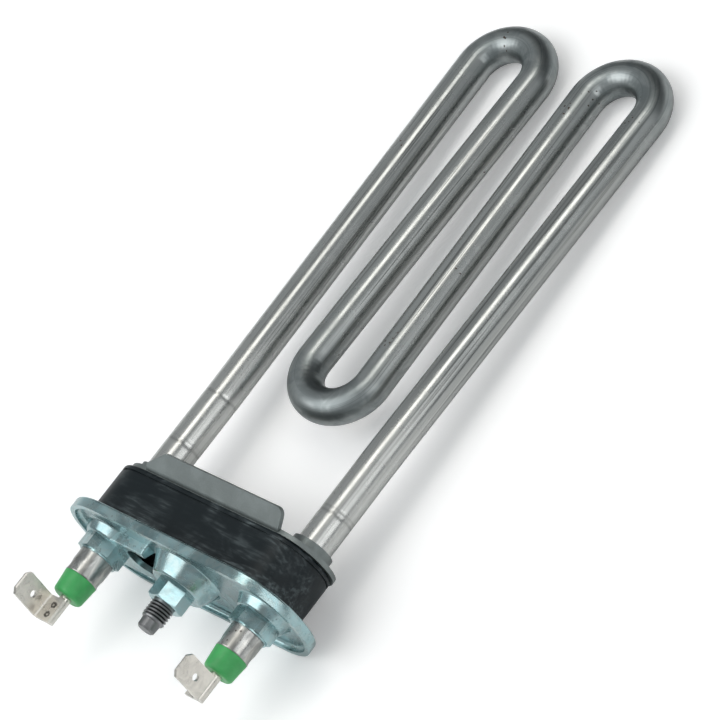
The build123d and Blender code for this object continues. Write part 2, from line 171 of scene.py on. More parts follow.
class HeaterColours(bpy.types.PropertyGroup):
    """Colours of the heater's finishes."""

    steel: colour_setting(
        "Sheath steel", "Bright stainless steel of the tube", (0.47, 0.485, 0.475))
    pale_steel: colour_setting(
        "Pale steel", "Paler, warmer steel of the tube near the plates", (0.605, 0.61, 0.59))
    # Also used, darker, as painted shade in the ring grooves.
    streak_and_ring_shade: colour_setting("Dark streaks", "Dark drawing lines along the tube", (0.16, 0.165, 0.16))
    heat_tint: colour_setting(
        "Heat tint", "Straw tint between the plate and the insulators", (0.42, 0.33, 0.24))
    dull_bend: colour_setting(
        "Dull bends", "Bluish grey that the bends turn towards", (0.265, 0.300, 0.306))
    bend_cloud: colour_setting("Bend clouds", "Dark clouds on the bends", (0.120, 0.145, 0.150))
    rust: colour_setting("Rust specks", "Small dark rust specks", (0.035, 0.018, 0.010))
    zinc: colour_setting(
        "Zinc plating", "Bluish zinc of the outer plate and the nut", (0.40, 0.585, 0.61))
    warm_zinc: colour_setting(
        "Warm smudges", "Warm grey of the fine smudges on the zinc", (0.50, 0.49, 0.45))
    zinc_nick: colour_setting("Zinc nicks", "Small dark nicks in the zinc", (0.10, 0.11, 0.11))
    # Painted shade on the flat floor of the outer plate's dish.
    dish_shade: colour_setting(
        "Dish floor", "Shading on the flat floor of the outer plate's dish", (0.10, 0.16, 0.17))
    sheet: colour_setting("Sheet steel", "Matt grey of the inner plate", (0.235, 0.265, 0.262))
    rubber: colour_setting("Rubber", "Black of the gasket", (0.0028, 0.0078, 0.0105))
    chalk: colour_setting("Chalky scuffs", "Whitish dust on the rubber", (0.275, 0.33, 0.345))
    green: colour_setting(
        "Insulator green", "Green of the moulded insulators", (0.058, 0.415, 0.115))
    tin: colour_setting("Tinned steel", "Warm grey of the tabs and pins", (0.76, 0.73, 0.67))
    weld_burn: colour_setting(
        "Weld burn", "Dark ring round each weld on the tabs", (0.05, 0.042, 0.035))
    # Painted shade in the roots of the stud's thread.
    root_shade: colour_setting(
        "Thread roots", "Darkening in the roots of the stud's thread", (0.03, 0.03, 0.032))
    thread: colour_setting("Stud steel", "Dark steel of the stud", (0.24, 0.245, 0.25))
    floor: colour_setting("Floor", "Pale floor that the heater lies on", (0.97, 0.97, 0.97))
    room: colour_setting("Room", "Pale room on the terminals' side", (0.42, 0.44, 0.45))
    room_beyond: colour_setting(
        "Room beyond", "Darker room beyond the far bends", (0.06, 0.066, 0.07))
    key_light: colour_setting(
        "Key light", "Slightly warm colour of the key light", (1.0, 0.968, 0.915))


class HeaterStage(bpy.types.PropertyGroup):
    """Camera and lights."""

    camera_place: FloatVectorProperty(
        name="Camera place", description="Where the camera stands",
        subtype="TRANSLATION", size=3, default=(-0.2338, -0.6929, 0.7571))
    camera_lens: FloatProperty(
        name="Lens", description="Focal length in millimetres, for a 36 mm sensor", default=238.4)
    key_power: FloatProperty(
        name="Key power", description="Power of the long soft light above", default=1.45)
    top_power: FloatProperty(
        name="Top power", description="Power of the soft light above the terminals' side",
        default=5.4)
    fill_power: FloatProperty(
        name="Fill power", description="Power of the soft light on the camera's side", default=0.8)
    floor_glow: FloatProperty(
        name="Floor glow", description="How much the floor is brightened where it is seen",
        default=0.23)
    mirrored_share: FloatProperty(
        name="Mirrored share", description="Share of the glow that shiny pieces mirror",
        default=0.1)


def sizes():
    return bpy.context.scene.heater_sizes


def colours():
    return bpy.context.scene.heater_colours


def grid_mesh(name, points):
    """A mesh from points on a grid of shape (rows, columns, 3). Neighbouring rows and columns make
    quads, and the last column joins the first."""
    rows, columns = points.shape[:2]
    index = np.arange(rows * columns).reshape(rows, columns)
    index = np.concatenate([index, index[:, :1]], axis=1)
    quads = np.stack([index[:-1, :-1], index[1:, :-1], index[1:, 1:], index[:-1, 1:]], axis=-1)
    quads = quads.reshape(-1, 4)
    mesh = bpy.data.meshes.new(name)
    mesh.vertices.add(rows * columns)
    mesh.vertices.foreach_set("co", points.reshape(-1).astype(np.float32))
    mesh.loops.add(quads.size)
    mesh.loops.foreach_set("vertex_index", quads.reshape(-1).astype(np.int32))
    mesh.polygons.add(len(quads))
    mesh.polygons.foreach_set("loop_start", np.arange(0, quads.size, 4, dtype=np.int32))
    mesh.update(calc_edges=True)
    mesh.polygons.foreach_set("use_smooth", np.ones(len(quads), dtype=bool))
    mesh.validate()
    piece = bpy.data.objects.new(name, mesh)
    bpy.context.scene.collection.objects.link(piece)
    return piece


def point_attribute(piece, name, values, kind="FLOAT"):
    """Stores one value, or one vector, for each vertex."""
    attribute = piece.data.attributes.new(name, kind, "POINT")
    key = "value" if kind == "FLOAT" else "vector"
    attribute.data.foreach_set(key, np.asarray(values, dtype=np.float32).reshape(-1))


def bump_at(x, place, width):
    """A smooth bump of height one at a place: e to the minus squared distance over width."""
    return np.exp(-((x - place) / width) ** 2)


def smooth_step(x, low, high):
    """Zero below low, one above high, and 3t^2 - 2t^3 between."""
    t = np.clip((x - low) / (high - low), 0.0, 1.0)
    return t * t * (3 - 2 * t)


def heater_line():
    """The W's centre line, as straight runs and tangent arcs. Along a piece of curvature k the
    heading is h + k s, and the place is the integral of (cos, sin) of it. The runs and the right
    far bend's radius follow from the reach of the bends, as in the solid. Returns place, heading,
    arc length and a signed bend weight for each sample: +1 turns left, -1 turns right."""
    s = sizes()
    a, b = s.outer_splay, s.inner_splay
    turn = math.pi + a + b
    end_x = SHEATH_HIGH.x - s.sheath_radius
    splay_x = s.splay_start + s.splay_radius * math.sin(a)
    splay_y = LEG_Y + s.splay_radius * (1 - math.cos(a))
    far_x = end_x - s.left_bend_back - s.far_bend_radius
    outer_run = (far_x - s.far_bend_radius * math.sin(a) - splay_x) / math.cos(a)
    inner_x = far_x - s.far_bend_radius * math.sin(b)
    inner_y = splay_y + outer_run * math.sin(a) - s.far_bend_radius * (math.cos(a) + math.cos(b))
    inner_run = inner_x - s.sheath_radius - s.middle_bend_reach
    inner_run -= inner_y * (1 + math.sin(b)) / math.cos(b)
    inner_run /= math.cos(b) + math.tan(b) * (1 + math.sin(b))
    middle_x = inner_x - inner_run * math.cos(b)
    middle_y = inner_y + inner_run * math.sin(b)
    legs_apart = splay_y + math.tan(a) * (end_x - splay_x)
    legs_apart += math.tan(b) * (end_x - middle_x) - middle_y
    right_radius = legs_apart / (math.cos(a) + math.cos(b) + math.tan(a) * (1 + math.sin(a))
                                 + math.tan(b) * (1 + math.sin(b)))
    right_x = end_x - right_radius
    pieces = [
        (s.splay_start - SHEATH_LOW.x, 0.0, FINE_STEP),
        (s.splay_radius * a, a, FINE_STEP),
        (outer_run, 0.0, LEG_STEP),
        (s.far_bend_radius * turn, -turn, FINE_STEP),
        (inner_run, 0.0, LEG_STEP),
        (middle_y / math.cos(b) * (math.pi + 2 * b), math.pi + 2 * b, FINE_STEP),
        ((right_x - right_radius * math.sin(b) - middle_x) / math.cos(b), 0.0, LEG_STEP),
        (right_radius * turn, -turn, FINE_STEP),
        ((right_x - right_radius * math.sin(a) - splay_x) / math.cos(a), 0.0, LEG_STEP),
        (s.splay_radius * a, a, FINE_STEP),
        (s.splay_start - SHEATH_LOW.x, 0.0, FINE_STEP),
    ]
    places, headings, lengths, bends = [], [], [], []
    place, heading, run = np.array([SHEATH_LOW.x, LEG_Y]), 0.0, 0.0
    for length, angle, step in pieces:
        count = max(int(round(length / step)), 4)
        t = np.linspace(0.0, length, count + 1)
        k = angle / length
        if k == 0.0:
            x, y = t * math.cos(heading), t * math.sin(heading)
        else:
            x = (np.sin(heading + k * t) - math.sin(heading)) / k
            y = (math.cos(heading) - np.cos(heading + k * t)) / k
        along = place + np.stack([x, y], axis=1)
        places.append(along[:-1])
        headings.append(heading + k * t[:-1])
        lengths.append(run + t[:-1])
        bends.append(np.full(count, np.sign(angle) if abs(angle) > 0.5 else 0.0))
        place, heading, run = along[-1], heading + angle, run + length
    places.append(place[None])
    headings.append([heading])
    lengths.append([run])
    bends.append([0.0])
    return tuple(np.concatenate(rows) for rows in (places, headings, lengths, bends))


def tool_marks(length, turning, around):
    """The tube's radius along and around it, and the strength of the ring marks along it.
    Radius = round - ring grooves + bend ribs on the inside of the turn - crimp dents."""
    s = sizes()
    from_end = np.minimum(length, length[-1] - length)
    left = length < length[-1] / 2
    ring = sum(np.where(left, on_left, on_right) * bump_at(from_end, place * MM, width * MM)
               for place, width, on_left, on_right in RING_MARKS)
    radius = np.full((len(length), len(around)), s.sheath_radius)
    radius -= s.ring_depth * ring[:, None]
    inside = np.clip(np.cos(around)[None, :] * np.sign(turning)[:, None] * 0.8 + 0.2, 0.0, 1.0)
    coarse, fine = (np.sin(length / pitch * 2 * np.pi) for pitch in RIB_PITCHES)
    radius += s.rib_depth * (np.abs(turning) * (coarse + 0.5 * fine))[:, None] * inside
    # The normal turns round along the W, so the dents' angles are mirrored on the right.
    for angle in DENT_ANGLES:
        spot = np.where(left, angle, math.pi - angle)[:, None]
        off = np.angle(np.exp(1j * (around[None, :] - spot)))
        near = bump_at(from_end, DENT_PLACE, DENT_LENGTH)[:, None] * bump_at(off, 0.0, DENT_SPREAD)
        radius -= s.dent_depth * near
    return radius, ring


class HEATER_OT_tube(bpy.types.Operator):
    """Builds the sheath as a round section carried along the W, with its tool marks"""

    bl_idname = "heater.tube"
    bl_label = "Sheath"

    def execute(self, context):
        s = sizes()
        place, heading, length, bend = heater_line()
        window = np.ones(2 * BEND_FADE + 1)
        turning = np.convolve(np.pad(bend, BEND_FADE, mode="edge"), window / window.size,
                              mode="valid")
        around = np.linspace(0.0, 2 * np.pi, TUBE_SIDES, endpoint=False)
        radius, ring = tool_marks(length, turning, around)
        flat = np.zeros_like(heading)
        normal = np.stack([-np.sin(heading), np.cos(heading), flat], axis=1)
        middle = np.stack([place[:, 0], place[:, 1], flat], axis=1)
        ring_vector = (normal[:, None, :] * np.cos(around)[None, :, None]
                       - np.array([0.0, 0.0, 1.0]) * np.sin(around)[None, :, None])
        outside = middle[:, None, :] + ring_vector * radius[:, :, None]
        # The open ends turn in over a small round and close on a disc behind the insulator.
        inner = s.sheath_radius - s.sheath_wall
        end_rows = [(0.0, END_DEPTH), (inner, END_DEPTH), (inner, 0.0),
                    (s.sheath_radius - s.sheath_wall / 3, 0.0)]
        first, last = [], []
        for r, d in end_rows:
            for end, rows, sign in ((0, first, 1.0), (-1, last, -1.0)):
                tangent = np.array([math.cos(heading[end]), math.sin(heading[end]), 0.0])
                rows.append(middle[end] + sign * tangent * d + ring_vector[end] * r)
        for end in (0, -1):
            outside[end] += np.array([END_ROUND, 0.0, 0.0])
        points = np.concatenate([np.array(first), outside, np.array(last)[::-1]])
        tube = grid_mesh("sheath_tube", points)

        # What the finish reads: the place on the unrolled tube, the bends, the ring marks and the
        # distance from the nearer end.
        extra = len(end_rows)
        run = np.pad(length, extra, mode="edge")
        shape = (len(run), len(around))
        unrolled = np.stack([
            np.broadcast_to(np.cos(around) * s.sheath_radius, shape),
            np.broadcast_to(np.sin(around) * s.sheath_radius, shape),
            np.broadcast_to(run[:, None], shape)], axis=-1)
        point_attribute(tube, "unrolled", unrolled, "FLOAT_VECTOR")
        for name, values in (("bend", np.pad(np.abs(turning), extra)),
                             ("ring", np.pad(np.clip(ring, 0.0, 1.0), extra)),
                             ("end_run", np.minimum(run, length[-1] - run))):
            point_attribute(tube, name, np.repeat(values, len(around)))
        tube.data.materials.append(sheath_finish())
        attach(tube, "root")
        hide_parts("sheath")
        return {"FINISHED"}


class HEATER_OT_stud(bpy.types.Operator):
    """Builds the clamp stud with its rolled thread, plain point and flat round head"""

    bl_idname = "heater.stud"
    bl_label = "Clamp stud"

    def execute(self, context):
        s = sizes()
        tip, head = STUD_LOW.x, STUD_HIGH.x
        head_radius = STUD_HIGH.y
        seat = head - HEAD_HEIGHT
        thread_end = NUT_LOW.x - 0.3 * MM
        point_start = tip + s.point_length
        # Profile from the head to the tip, as (place, radius) corners; runs between are straight.
        corners = [
            (head, 0.0), (head, head_radius - HEAD_ROUND),
            (head - HEAD_ROUND / 3, head_radius - HEAD_ROUND / 3),
            (head - HEAD_ROUND, head_radius), (seat, head_radius), (seat, s.blank_radius),
            (thread_end, s.blank_radius), (thread_end - 0.1 * MM, s.stud_radius),
            (point_start + 0.5 * MM, s.stud_radius),
            (point_start, s.point_radius + 0.35 * MM), (point_start - 0.2 * MM, s.point_radius),
            (tip + 0.45 * MM, s.point_radius - 0.12 * MM),
            (tip, s.point_radius - 0.5 * MM), (tip, 0.0)]
        corners = np.array(corners)
        steps = np.linalg.norm(np.diff(corners, axis=0), axis=1)
        reach = np.concatenate([[0.0], np.cumsum(steps)])
        walk = np.unique(np.concatenate([reach, np.arange(0.0, reach[-1], STUD_STEP)]))
        x = np.interp(walk, reach, corners[:, 0])
        radius = np.interp(walk, reach, corners[:, 1])
        around = np.linspace(0.0, 2 * np.pi, STUD_SIDES, endpoint=False)
        # The thread is a height on the round: a wave of x / pitch minus the angle, with its roots
        # and crests flattened.
        phase = x[:, None] / s.thread_pitch - around[None, :] / (2 * np.pi)
        wave = np.abs(((phase % 1.0) - 0.5) * 2)
        groove = smooth_step(wave, 0.15, 0.85)
        here = smooth_step(x, point_start + 0.1 * MM, point_start + 0.9 * MM)
        here *= 1 - smooth_step(x, thread_end - 0.2 * MM, thread_end)
        rho = radius[:, None] - s.thread_depth * groove * here[:, None]
        points = np.stack([
            np.broadcast_to(x[:, None], rho.shape),
            rho * np.cos(around), rho * np.sin(around)], axis=-1)
        stud = grid_mesh("clamp_stud_thread", points)
        crest = np.where(here[:, None] > 0.01, 1 - groove * here[:, None], 1.0)
        point_attribute(stud, "crest", crest)
        plain = 1 - smooth_step(x, point_start - 0.1 * MM, point_start + 0.3 * MM)
        point_attribute(stud, "plain", np.repeat(plain, len(around)))
        stud.data.materials.append(stud_finish())
        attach(stud, "root")
        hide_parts("clamp_stud")
        return {"FINISHED"}


def wire(tree, output, socket):
    tree.links.new(output, socket)


def number(tree, operation, *values):
    """A maths node on values that are each a socket or a number."""
    made = tree.nodes.new("ShaderNodeMath")
    made.operation = operation
    for index, value in enumerate(values):
        if isinstance(value, (int, float)):
            made.inputs[index].default_value = value
        else:
            wire(tree, value, made.inputs[index])
    return made.outputs[0]


def times(tree, first, second):
    return number(tree, "MULTIPLY", first, second)


def plus(tree, first, *others):
    """The sum of two or more values."""
    for other in others:
        first = number(tree, "ADD", first, other)
    return first


def sloped(tree, value, slope, start):
    """The value times a slope, plus a start."""
    return number(tree, "MULTIPLY_ADD", value, slope, start)


def ranged(tree, value, low, high, to_low=0.0, to_high=1.0):
    """Maps a value's range smoothly onto another, clamped."""
    made = tree.nodes.new("ShaderNodeMapRange")
    made.interpolation_type = "SMOOTHSTEP"
    wire(tree, value, made.inputs["Value"])
    for name, level in (("From Min", low), ("From Max", high),
                        ("To Min", to_low), ("To Max", to_high)):
        made.inputs[name].default_value = level
    return made.outputs["Result"]


def shade(colour, share=1.0):
    """A colour as a tuple, times a share."""
    return tuple(share * v for v in colour)


def blend_colour(tree, factor, first, second):
    """Mixes two colours, each a socket or a tuple, by a factor."""
    made = tree.nodes.new("ShaderNodeMix")
    made.data_type = "RGBA"
    # The mix node has inputs for each kind of value: 0 is the factor, 6 and 7 are the colours.
    for index, value in ((0, factor), (6, first), (7, second)):
        if isinstance(value, bpy.types.NodeSocket):
            wire(tree, value, made.inputs[index])
        else:
            made.inputs[index].default_value = (*value, 1.0)
    return made.outputs[2]


def stretched(tree, vector, scale):
    """The vector, scaled along each axis."""
    made = tree.nodes.new("ShaderNodeVectorMath")
    made.operation = "MULTIPLY"
    wire(tree, vector, made.inputs[0])
    made.inputs[1].default_value = scale
    return made.outputs[0]


def x_of(tree, vector):
    made = tree.nodes.new("ShaderNodeSeparateXYZ")
    wire(tree, vector, made.inputs[0])
    return made.outputs["X"]


def noise(tree, vector, scale, detail=2.0, distortion=0.0):
    """A cloud noise. Its scale is a socket or a number."""
    made = tree.nodes.new("ShaderNodeTexNoise")
    wire(tree, vector, made.inputs["Vector"])
    if isinstance(scale, float):
        made.inputs["Scale"].default_value = scale
    else:
        wire(tree, scale, made.inputs["Scale"])
    made.inputs["Detail"].default_value = detail
    made.inputs["Distortion"].default_value = distortion
    return made.outputs["Fac"]


def surface_group(name, inputs, outputs, fill):
    """The node group of this name, built the first time. It takes a vector and named numbers, and
    gives named values. fill wires what is between its input and output sockets."""
    if name in bpy.data.node_groups:
        return bpy.data.node_groups[name]
    tree = bpy.data.node_groups.new(name, "ShaderNodeTree")
    tree.interface.new_socket("Vector", in_out="INPUT", socket_type="NodeSocketVector")
    for label, default in inputs:
        socket = tree.interface.new_socket(label, in_out="INPUT", socket_type="NodeSocketFloat")
        socket.default_value = default
    for label in outputs:
        tree.interface.new_socket(label, in_out="OUTPUT", socket_type="NodeSocketFloat")
    come = tree.nodes.new("NodeGroupInput").outputs
    fill(tree, come["Vector"], come["Scale"], come, tree.nodes.new("NodeGroupOutput").inputs)
    return tree


def fill_grain(tree, vector, scale, come, go):
    for label, share in (("Fine", 1.0), ("Broad", 0.27)):
        wire(tree, noise(tree, vector, times(tree, scale, share), 4.0), go[label])


def fill_specks(tree, vector, scale, come, go):
    ragged = noise(tree, vector, times(tree, scale, 2.5))
    cloud = noise(tree, vector, times(tree, scale, 0.12))
    cell = tree.nodes.new("ShaderNodeTexVoronoi")
    wire(tree, vector, cell.inputs["Vector"])
    wire(tree, scale, cell.inputs["Scale"])
    edge = plus(tree, cell.outputs["Distance"], times(tree, ragged, 0.35))
    dot = ranged(tree, edge, 0.30, 0.42, 1.0, 0.0)
    wire(tree, times(tree, dot, number(tree, "GREATER_THAN", cloud, come["Cover"])), go["Mask"])


def fill_smudges(tree, vector, scale, come, go):
    wire(tree, ranged(tree, noise(tree, vector, scale, 6.0, 0.8), 0.35, 0.65), go["Value"])


def use_group(tree, group, vector, **values):
    """Places a group, with its vector and its numbers. Returns its output sockets."""
    made = tree.nodes.new("ShaderNodeGroup")
    made.node_tree = group
    wire(tree, vector, made.inputs["Vector"])
    for key, value in values.items():
        made.inputs[key.title()].default_value = value
    return made.outputs


def grain_of(tree, vector, scale):
    """Drawn or rolled grain: noise pulled long by the vector that comes in, in two sizes. Returns
    the fine and the broad one."""
    group = surface_group("Heater Grain", [("Scale", 1000.0)], ["Fine", "Broad"], fill_grain)
    made = use_group(tree, group, vector, scale=scale)
    return made["Fine"], made["Broad"]


def specks_of(tree, vector, scale, cover):
    """Small scattered specks: a cell pattern's middles, kept only where a cloud noise is high."""
    numbers = [("Scale", 500.0), ("Cover", 0.6)]
    group = surface_group("Heater Specks", numbers, ["Mask"], fill_specks)
    return use_group(tree, group, vector, scale=scale, cover=cover)["Mask"]


def smudges_of(tree, vector, scale):
    """Handling smudges: a distorted cloud noise, sharpened about its middle."""
    group = surface_group("Heater Smudges", [("Scale", 100.0)], ["Value"], fill_smudges)
    return use_group(tree, group, vector, scale=scale)["Value"]


def new_finish(name, metallic, roughness):
    """A material with a plain Principled shader. Returns material, tree and shader."""
    material = bpy.data.materials.new(name)
    material.use_nodes = True
    tree = material.node_tree
    shader = tree.nodes["Principled BSDF"]
    shader.inputs["Metallic"].default_value = metallic
    shader.inputs["Roughness"].default_value = roughness
    return material, tree, shader


def object_place(tree):
    return tree.nodes.new("ShaderNodeTexCoord").outputs["Object"]


def attribute_of(tree, name, output="Fac"):
    made = tree.nodes.new("ShaderNodeAttribute")
    made.attribute_name = name
    return made.outputs[output]


def paint(tree, shader, tone, rough, height=None, distance=0.0, strength=0.0):
    """Wires a finish's colour and roughness, and its height through a Bump node, to the shader."""
    wire(tree, tone, shader.inputs["Base Color"])
    wire(tree, rough, shader.inputs["Roughness"])
    if height is not None:
        bump = tree.nodes.new("ShaderNodeBump")
        bump.inputs["Distance"].default_value = distance
        bump.inputs["Strength"].default_value = strength
        wire(tree, height, bump.inputs["Height"])
        wire(tree, bump.outputs["Normal"], shader.inputs["Normal"])


def sheath_finish():
    """Bright drawn stainless: long streaks, duller bends, a straw tint at the ends, rust specks."""
    c = colours()
    material, tree, shader = new_finish("Drawn stainless", 1.0, 0.2)
    unrolled = attribute_of(tree, "unrolled", "Vector")
    bend = attribute_of(tree, "bend")
    end_run = attribute_of(tree, "end_run")
    place = object_place(tree)
    fine, broad = grain_of(tree, stretched(tree, unrolled, (1.0, 1.0, 0.008)), 2200.0)
    smudge = smudges_of(tree, place, 180.0)
    specks = specks_of(tree, unrolled, 800.0, 0.66)
    tone = blend_colour(tree, ranged(tree, broad, 0.35, 0.65), shade(c.steel, 0.72), shade(c.steel))
    tone = blend_colour(tree, ranged(tree, fine, 0.46, 0.34, 0.0, 0.8), tone, shade(c.streak_and_ring_shade))
    tone = blend_colour(tree, times(tree, bend, 0.6), tone, shade(c.dull_bend))
    clouds = times(tree, times(tree, smudge, bend), 0.5)
    tone = blend_colour(tree, clouds, tone, shade(c.bend_cloud))
    # The tube is paler and warmer towards the plates.
    pale = ranged(tree, end_run, 90 * MM, 40 * MM)
    tone = blend_colour(tree, times(tree, pale, 0.6), tone, shade(c.pale_steel))
    # The ring grooves are painted darker: painted shade.
    ring = times(tree, attribute_of(tree, "ring"), 0.4)
    tone = blend_colour(tree, ring, tone, shade(c.streak_and_ring_shade, 0.6))
    # The straw tint sits between the plate and the insulator.
    tint = times(tree, ranged(tree, end_run, 9 * MM, 2 * MM), ranged(tree, broad, 0.4, 0.6))
    tone = blend_colour(tree, times(tree, tint, 0.20), tone, shade(c.heat_tint))
    tone = blend_colour(tree, specks, tone, shade(c.rust))
    # Handling soils the short ends outside the plate.
    soil = smudges_of(tree, stretched(tree, place, (0.4, 1.0, 1.0)), 620.0)
    soil = times(tree, soil, ranged(tree, end_run, 12.5 * MM, 11.5 * MM))
    tone = blend_colour(tree, times(tree, soil, 0.6), tone, shade(c.steel, 0.35))
    rough = plus(tree, sloped(tree, broad, 0.14, 0.14), times(tree, bend, 0.14),
                 times(tree, pale, 0.05), times(tree, smudge, 0.06), times(tree, specks, 0.4))
    height = plus(tree, times(tree, fine, 0.35), broad)
    paint(tree, shader, tone, rough, height, 0.03 * MM, 0.3)
    wire(tree, number(tree, "SUBTRACT", 1.0, specks), shader.inputs["Metallic"])
    return material


def zinc_finish(name, dark_share, base_rough, bump):
    """Bluish zinc plating: rolled grain along the plate, handling smudges and small dark nicks. The
    smudges darken the colour to a share of it."""
    c = colours()
    material, tree, shader = new_finish(name, 1.0, 0.35)
    place = object_place(tree)
    fine = grain_of(tree, stretched(tree, place, (1.0, 0.12, 1.0)), 1400.0)[0]
    smudge = smudges_of(tree, place, 130.0)
    warm = times(tree, smudges_of(tree, place, 520.0), 0.22)
    nicks = times(tree, specks_of(tree, place, 900.0, 0.60), 0.5)
    tone = blend_colour(tree, smudge, shade(c.zinc, dark_share), shade(c.zinc))
    tone = blend_colour(tree, warm, tone, shade(c.warm_zinc))
    tone = blend_colour(tree, nicks, tone, shade(c.zinc_nick))
    # The flat floor of the dish is painted darker than the rim and the bosses: painted shade.
    facing = x_of(tree, tree.nodes.new("ShaderNodeNewGeometry").outputs["True Normal"])
    shaded_dish = times(tree, ranged(tree, facing, -0.97, -0.99),
                   ranged(tree, x_of(tree, place), DISH_LOW, DISH_HIGH))
    tone = blend_colour(tree, times(tree, shaded_dish, 0.4), tone, shade(c.dish_shade))
    rough = plus(tree, sloped(tree, smudge, 0.12, base_rough), times(tree, fine, 0.10))
    paint(tree, shader, tone, rough, plus(tree, fine, times(tree, smudge, 0.8)), 0.08 * MM, bump)
    return material


def sheet_finish():
    """Matt grey sheet steel with a faint even mottle."""
    c = colours()
    material, tree, shader = new_finish("Matt sheet steel", 0.85, 0.45)
    place = object_place(tree)
    smudge = smudges_of(tree, place, 160.0)
    mottle = grain_of(tree, place, 2200.0)[0]
    tone = blend_colour(tree, smudge, shade(c.sheet, 0.84), shade(c.sheet))
    paint(tree, shader, tone, sloped(tree, mottle, 0.2, 0.38), mottle, 0.06 * MM, 0.5)
    return material


def rubber_finish():
    """Black moulded rubber with chalky scuffs along the plate, stronger towards its rims."""
    c = colours()
    material, tree, shader = new_finish("Black rubber", 0.0, 0.55)
    shader.inputs["Specular IOR Level"].default_value = 0.28
    place = object_place(tree)
    scuff = smudges_of(tree, stretched(tree, place, (1.2, 0.4, 0.8)), 210.0)
    fine, broad = grain_of(tree, stretched(tree, place, (1.0, 0.12, 1.0)), 1500.0)
    chalk = times(tree, scuff, smudges_of(tree, place, 95.0))
    chalk = times(tree, chalk, ranged(tree, fine, 0.40, 0.66, 0.15, 1.0))
    half = GASKET_HIGH.x / 2
    from_middle = number(tree, "ABSOLUTE", number(tree, "SUBTRACT", x_of(tree, place), half))
    chalk = times(tree, chalk, ranged(tree, from_middle, 0.3 * half, half, 0.35, 1.0))
    tone = blend_colour(tree, times(tree, chalk, 0.60), shade(c.rubber), shade(c.chalk))
    paint(tree, shader, tone, sloped(tree, chalk, 0.3, 0.42), broad, 0.1 * MM, 0.4)
    return material


def green_finish():
    """Saturated green moulding with a soft sheen."""
    c = colours()
    material, tree, shader = new_finish("Green moulding", 0.0, 0.4)
    place = object_place(tree)
    fine, broad = grain_of(tree, place, 2600.0)
    tone = blend_colour(tree, smudges_of(tree, place, 260.0), shade(c.green, 0.86), shade(c.green))
    paint(tree, shader, tone, sloped(tree, fine, 0.12, 0.34), broad, 0.06 * MM, 0.5)
    shader.inputs["Subsurface Weight"].default_value = 0.12
    shader.inputs["Subsurface Radius"].default_value = (0.6 * MM, 1.2 * MM, 0.6 * MM)
    return material


def tin_finish(name, weld_places):
    """Tinned sheet, with a rough dark ring and a ragged sunken middle at each weld."""
    c = colours()
    material, tree, shader = new_finish(name, 1.0, 0.32)
    place = object_place(tree)
    fine = grain_of(tree, stretched(tree, place, (0.15, 1.0, 1.0)), 2600.0)[0]
    smudge = smudges_of(tree, place, 330.0)
    ragged = noise(tree, place, 2400.0, 3.0)
    tone = blend_colour(tree, smudge, shade(c.tin, 0.78), shade(c.tin))
    height = times(tree, fine, 0.15)
    rough = sloped(tree, smudge, 0.12, 0.26)
    for spot, radius in weld_places:
        gap = tree.nodes.new("ShaderNodeVectorMath")
        gap.operation = "DISTANCE"
        wire(tree, place, gap.inputs[0])
        gap.inputs[1].default_value = spot
        # The distance in weld radii, made ragged; the ring lies at about 1.15 to 1.35.
        far = number(tree, "DIVIDE", gap.outputs["Value"], radius)
        far = plus(tree, far, sloped(tree, ragged, 0.7, 0.5))
        ring = times(tree, ranged(tree, far, 0.95, 1.15), ranged(tree, far, 1.55, 1.35))
        inside = ranged(tree, far, 1.35, 1.0)
        tone = blend_colour(tree, times(tree, ring, 0.85), tone, shade(c.weld_burn))
        height = number(tree, "SUBTRACT", height, times(tree, inside, ragged))
        rough = plus(tree, rough, times(tree, ring, 0.3))
    paint(tree, shader, tone, rough, height, 0.12 * MM, 0.8)
    return material


def stud_finish():
    """Dark steel: thread roots darkened by painted shade, crests lightened by a painted highlight,
    and a lighter turned point.
    """
    c = colours()
    material, tree, shader = new_finish("Stud steel", 1.0, 0.4)
    place = object_place(tree)
    crest, plain = attribute_of(tree, "crest"), attribute_of(tree, "plain")
    # Painted shade darkens the thread's roots, and a painted highlight lightens its crests.
    tone = blend_colour(tree, crest, shade(c.root_shade), shade(c.thread, 1.2))
    tone = blend_colour(tree, plain, tone, shade(c.thread, 0.9))
    rough = sloped(tree, smudges_of(tree, place, 420.0), 0.2, 0.3)
    paint(tree, shader, tone, rough, grain_of(tree, place, 2400.0)[0], 0.06 * MM, 0.5)
    return material


def plain_finish(name, colour, metallic, roughness):
    """A quiet finish for what is sealed inside: a faint mottle in colour and roughness."""
    material, tree, shader = new_finish(name, metallic, roughness)
    smudge = smudges_of(tree, object_place(tree), 400.0)
    tone = blend_colour(tree, smudge, shade(colour, 0.85), colour)
    paint(tree, shader, tone, sloped(tree, smudge, 0.12, roughness - 0.06))
    return material


def dress(node, material):
    """Gives a carried-over node its finish."""
    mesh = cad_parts[node].data
    mesh.materials.clear()
    mesh.materials.append(material)


class HEATER_OT_plates(bpy.types.Operator):
    """Finishes the outer plate, the clamp nut and the inner plate"""

    bl_idname = "heater.plates"
    bl_label = "Plates and nut"

    def execute(self, context):
        dress("outer_plate", zinc_finish("Zinc plate", 0.58, 0.16, 0.4))
        dress("clamp_nut", zinc_finish("Zinc nut", 0.90, 0.12, 0.06))
        dress("inner_plate", sheet_finish())
        return {"FINISHED"}


class HEATER_OT_gasket(bpy.types.Operator):
    """Finishes the rubber gasket"""

    bl_idname = "heater.gasket"
    bl_label = "Gasket"

    def execute(self, context):
        dress("gasket", rubber_finish())
        return {"FINISHED"}


